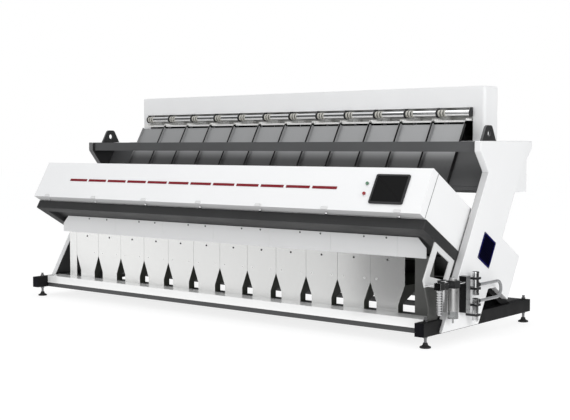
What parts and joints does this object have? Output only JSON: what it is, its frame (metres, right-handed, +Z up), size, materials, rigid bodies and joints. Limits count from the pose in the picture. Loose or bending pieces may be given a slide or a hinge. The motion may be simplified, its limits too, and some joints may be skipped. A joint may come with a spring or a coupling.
{
  "type": "optical colour sorter",
  "caption": "Optical colour sorter for grain: a leaning camera box with a hinged cover over a row of outlet hoppers, vibrating feeders and slanted chutes behind it, on a low base.",
  "frame": {"origin": "middle of the machine's footprint, on the floor under the feet", "axes": "+X along the row of chutes, to the right as seen from the front; +Y to the back; +Z up"},
  "size_m": [4.655, 1.7455, 1.965],
  "materials": {
    "white_paint": "satin powder coat",
    "grey_paint": "satin powder coat",
    "black_paint": "satin powder coat",
    "stainless": "fine brushed sheet",
    "chute_aluminium": "anodised",
    "chrome": "polished plating",
    "black_plastic": "fine texture",
    "vent_plastic": "fine texture",
    "rubber": "matt",
    "hose_plastic": "smooth, slightly clear",
    "screen_glass": "glossy touch panel, dark",
    "pane_glass": "clear pane",
    "bowl_plastic": "clear, slightly smoked",
    "lamp_plastic": "diffusing white",
    "green_plastic": "glossy",
    "red_plastic": "glossy",
    "strip_plastic": "glossy"
  },
  "bodies": {
    "frame": {"side_panel_left": "white_paint", "side_panel_right": "white_paint", "hood_shell": "white_paint", "body_shell": "white_paint", "body_deck": "white_paint", "front_box_shell": "white_paint", "rear_box_shell": "white_paint", "leg_bracket": "white_paint", "lifting_frame": "grey_paint", "chute_bars": "grey_paint", "body_front_wall": "grey_paint", "cradle": "grey_paint", "cross_rails": "grey_paint", "air_rail": "grey_paint", "base_beams": "black_paint", "reject_hoppers": "black_paint", "front_hoppers": "stainless", "outlet_shelf": "stainless", "apron_plates": "stainless", "feed_hopper_plates": "stainless", "ejector_manifold": "stainless", "chutes": "chute_aluminium", "camera_rails": "chute_aluminium", "manifold_block": "chute_aluminium", "foot_stems": "chrome", "gate_tubes": "chrome", "hinge_leaves": "chrome", "filter_heads": "chrome", "air_pipes": "chrome", "gate_hangers": "black_plastic", "cameras": "black_plastic", "feeder_drives": "black_plastic", "vent_grille": "vent_plastic", "foot_pads": "rubber", "air_hoses": "hose_plastic", "box_glass": "pane_glass", "filter_bowl": "bowl_plastic", "light_bars": "lamp_plastic"},
    "cover": {"front_cover": "white_paint", "cover_fasteners": "chrome", "screen_bezel": "black_plastic", "screen_panel": "screen_glass", "button_collars": "black_plastic", "status_strips": "strip_plastic"},
    "start_push": {"start_button": "green_plastic"},
    "stop_push": {"stop_button": "red_plastic"},
    "lever": {"shutoff_lever": "black_plastic"},
    "knob": {"pressure_knob": "black_plastic"},
    "feeder_tray_01_body": {"feeder_tray_01": "stainless"},
    "feeder_tray_02_body": {"feeder_tray_02": "stainless"},
    "feeder_tray_03_body": {"feeder_tray_03": "stainless"},
    "feeder_tray_04_body": {"feeder_tray_04": "stainless"},
    "feeder_tray_05_body": {"feeder_tray_05": "stainless"},
    "feeder_tray_06_body": {"feeder_tray_06": "stainless"},
    "feeder_tray_07_body": {"feeder_tray_07": "stainless"},
    "feeder_tray_08_body": {"feeder_tray_08": "stainless"},
    "feeder_tray_09_body": {"feeder_tray_09": "stainless"},
    "feeder_tray_10_body": {"feeder_tray_10": "stainless"},
    "feeder_tray_11_body": {"feeder_tray_11": "stainless"},
    "feeder_tray_12_body": {"feeder_tray_12": "stainless"}
  },
  "joints": [
    {"name": "front_cover_swing", "type": "hinge", "parent": "frame", "child": "cover", "pos_m": [-0.0475, -0.6137, 1.27766], "axis": [-1, 0, 0], "range_deg": [0, 80]},
    {"name": "start_button_press", "type": "slide", "parent": "cover", "child": "start_push", "axis": [0, 0.866, -0.5], "range_m": [0, 0.004], "stiffness_N_per_m": 400, "springref_m": -0.002},
    {"name": "stop_button_press", "type": "slide", "parent": "cover", "child": "stop_push", "axis": [0, 0.866, -0.5], "range_m": [0, 0.004], "stiffness_N_per_m": 400, "springref_m": -0.002},
    {"name": "feeder_tray_01_shake", "type": "slide", "parent": "frame", "child": "feeder_tray_01_body", "axis": [0, -1, 0], "range_m": [-0.0015, 0.0015], "stiffness_N_per_m": 20000},
    {"name": "feeder_tray_02_shake", "type": "slide", "parent": "frame", "child": "feeder_tray_02_body", "axis": [0, -1, 0], "range_m": [-0.0015, 0.0015], "stiffness_N_per_m": 20000},
    {"name": "feeder_tray_03_shake", "type": "slide", "parent": "frame", "child": "feeder_tray_03_body", "axis": [0, -1, 0], "range_m": [-0.0015, 0.0015], "stiffness_N_per_m": 20000},
    {"name": "feeder_tray_04_shake", "type": "slide", "parent": "frame", "child": "feeder_tray_04_body", "axis": [0, -1, 0], "range_m": [-0.0015, 0.0015], "stiffness_N_per_m": 20000},
    {"name": "feeder_tray_05_shake", "type": "slide", "parent": "frame", "child": "feeder_tray_05_body", "axis": [0, -1, 0], "range_m": [-0.0015, 0.0015], "stiffness_N_per_m": 20000},
    {"name": "feeder_tray_06_shake", "type": "slide", "parent": "frame", "child": "feeder_tray_06_body", "axis": [0, -1, 0], "range_m": [-0.0015, 0.0015], "stiffness_N_per_m": 20000},
    {"name": "feeder_tray_07_shake", "type": "slide", "parent": "frame", "child": "feeder_tray_07_body", "axis": [0, -1, 0], "range_m": [-0.0015, 0.0015], "stiffness_N_per_m": 20000},
    {"name": "feeder_tray_08_shake", "type": "slide", "parent": "frame", "child": "feeder_tray_08_body", "axis": [0, -1, 0], "range_m": [-0.0015, 0.0015], "stiffness_N_per_m": 20000},
    {"name": "feeder_tray_09_shake", "type": "slide", "parent": "frame", "child": "feeder_tray_09_body", "axis": [0, -1, 0], "range_m": [-0.0015, 0.0015], "stiffness_N_per_m": 20000},
    {"name": "feeder_tray_10_shake", "type": "slide", "parent": "frame", "child": "feeder_tray_10_body", "axis": [0, -1, 0], "range_m": [-0.0015, 0.0015], "stiffness_N_per_m": 20000},
    {"name": "feeder_tray_11_shake", "type": "slide", "parent": "frame", "child": "feeder_tray_11_body", "axis": [0, -1, 0], "range_m": [-0.0015, 0.0015], "stiffness_N_per_m": 20000},
    {"name": "feeder_tray_12_shake", "type": "slide", "parent": "frame", "child": "feeder_tray_12_body", "axis": [0, -1, 0], "range_m": [-0.0015, 0.0015], "stiffness_N_per_m": 20000},
    {"name": "shutoff_turn", "type": "hinge", "parent": "frame", "child": "lever", "pos_m": [2.2795, -0.79025, 0.486], "axis": [0, 0, -1], "range_deg": [0, 90]},
    {"name": "pressure_turn", "type": "hinge", "parent": "frame", "child": "knob", "pos_m": [2.2795, -0.59625, 0.486], "axis": [0, 0, 1], "range_deg": [-540, 540]}
  ]
}
